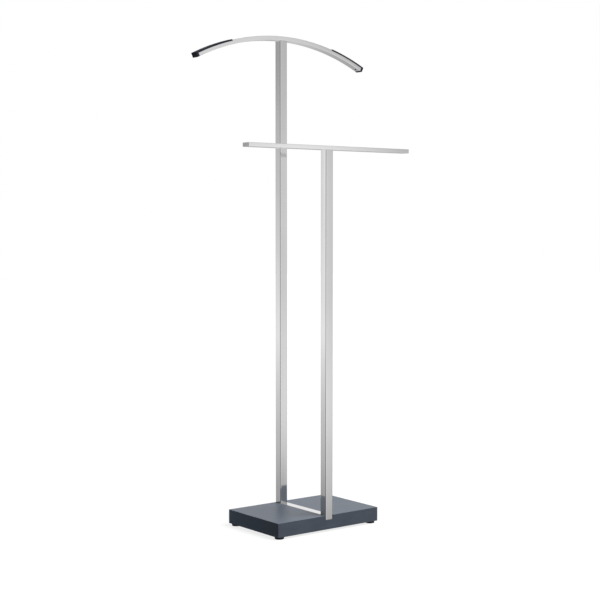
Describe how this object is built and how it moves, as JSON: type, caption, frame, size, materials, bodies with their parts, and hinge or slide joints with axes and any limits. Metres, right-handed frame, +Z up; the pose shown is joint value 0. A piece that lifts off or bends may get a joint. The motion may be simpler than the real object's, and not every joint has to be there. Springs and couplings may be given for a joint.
{
  "type": "valet stand",
  "caption": "Free-standing valet stand: stone base slab on rubber feet, slim square steel posts, a straight trouser rail and a curved shoulder bow with rubber pads.",
  "frame": {"origin": "on the floor at the middle of the base", "axes": "+Z up, +Y from the trouser rail's post at the front to the shoulder bow's post at the back, +X along the rail and the bow to the right"},
  "size_m": [0.4642, 0.182, 1.08],
  "materials": {
    "slab_stone": "honed dark grey stone",
    "foot_rubber": "matte moulded rubber",
    "pad_rubber": "matte moulded rubber",
    "polished_steel": "polished stainless steel",
    "turned_steel": "machined stainless steel",
    "screw_steel": "plain stainless screws"
  },
  "bodies": {
    "root": {"base_slab": "slab_stone", "foot_front_left": "foot_rubber", "foot_front_right": "foot_rubber", "foot_back_left": "foot_rubber", "foot_back_right": "foot_rubber", "floor_bar": "polished_steel", "front_post": "polished_steel", "back_post": "polished_steel", "front_foot_plug": "turned_steel", "back_foot_plug": "turned_steel", "front_top_plug": "turned_steel", "back_top_plug": "turned_steel", "trouser_rail": "polished_steel", "rail_screws": "screw_steel", "shoulder_bow": "polished_steel", "bow_screws": "screw_steel", "shoulder_pad_left": "pad_rubber", "shoulder_pad_right": "pad_rubber", "post_bolts": "screw_steel", "post_washers": "screw_steel", "bar_bolt": "screw_steel", "bar_washer": "screw_steel"}
  },
  "joints": []
}
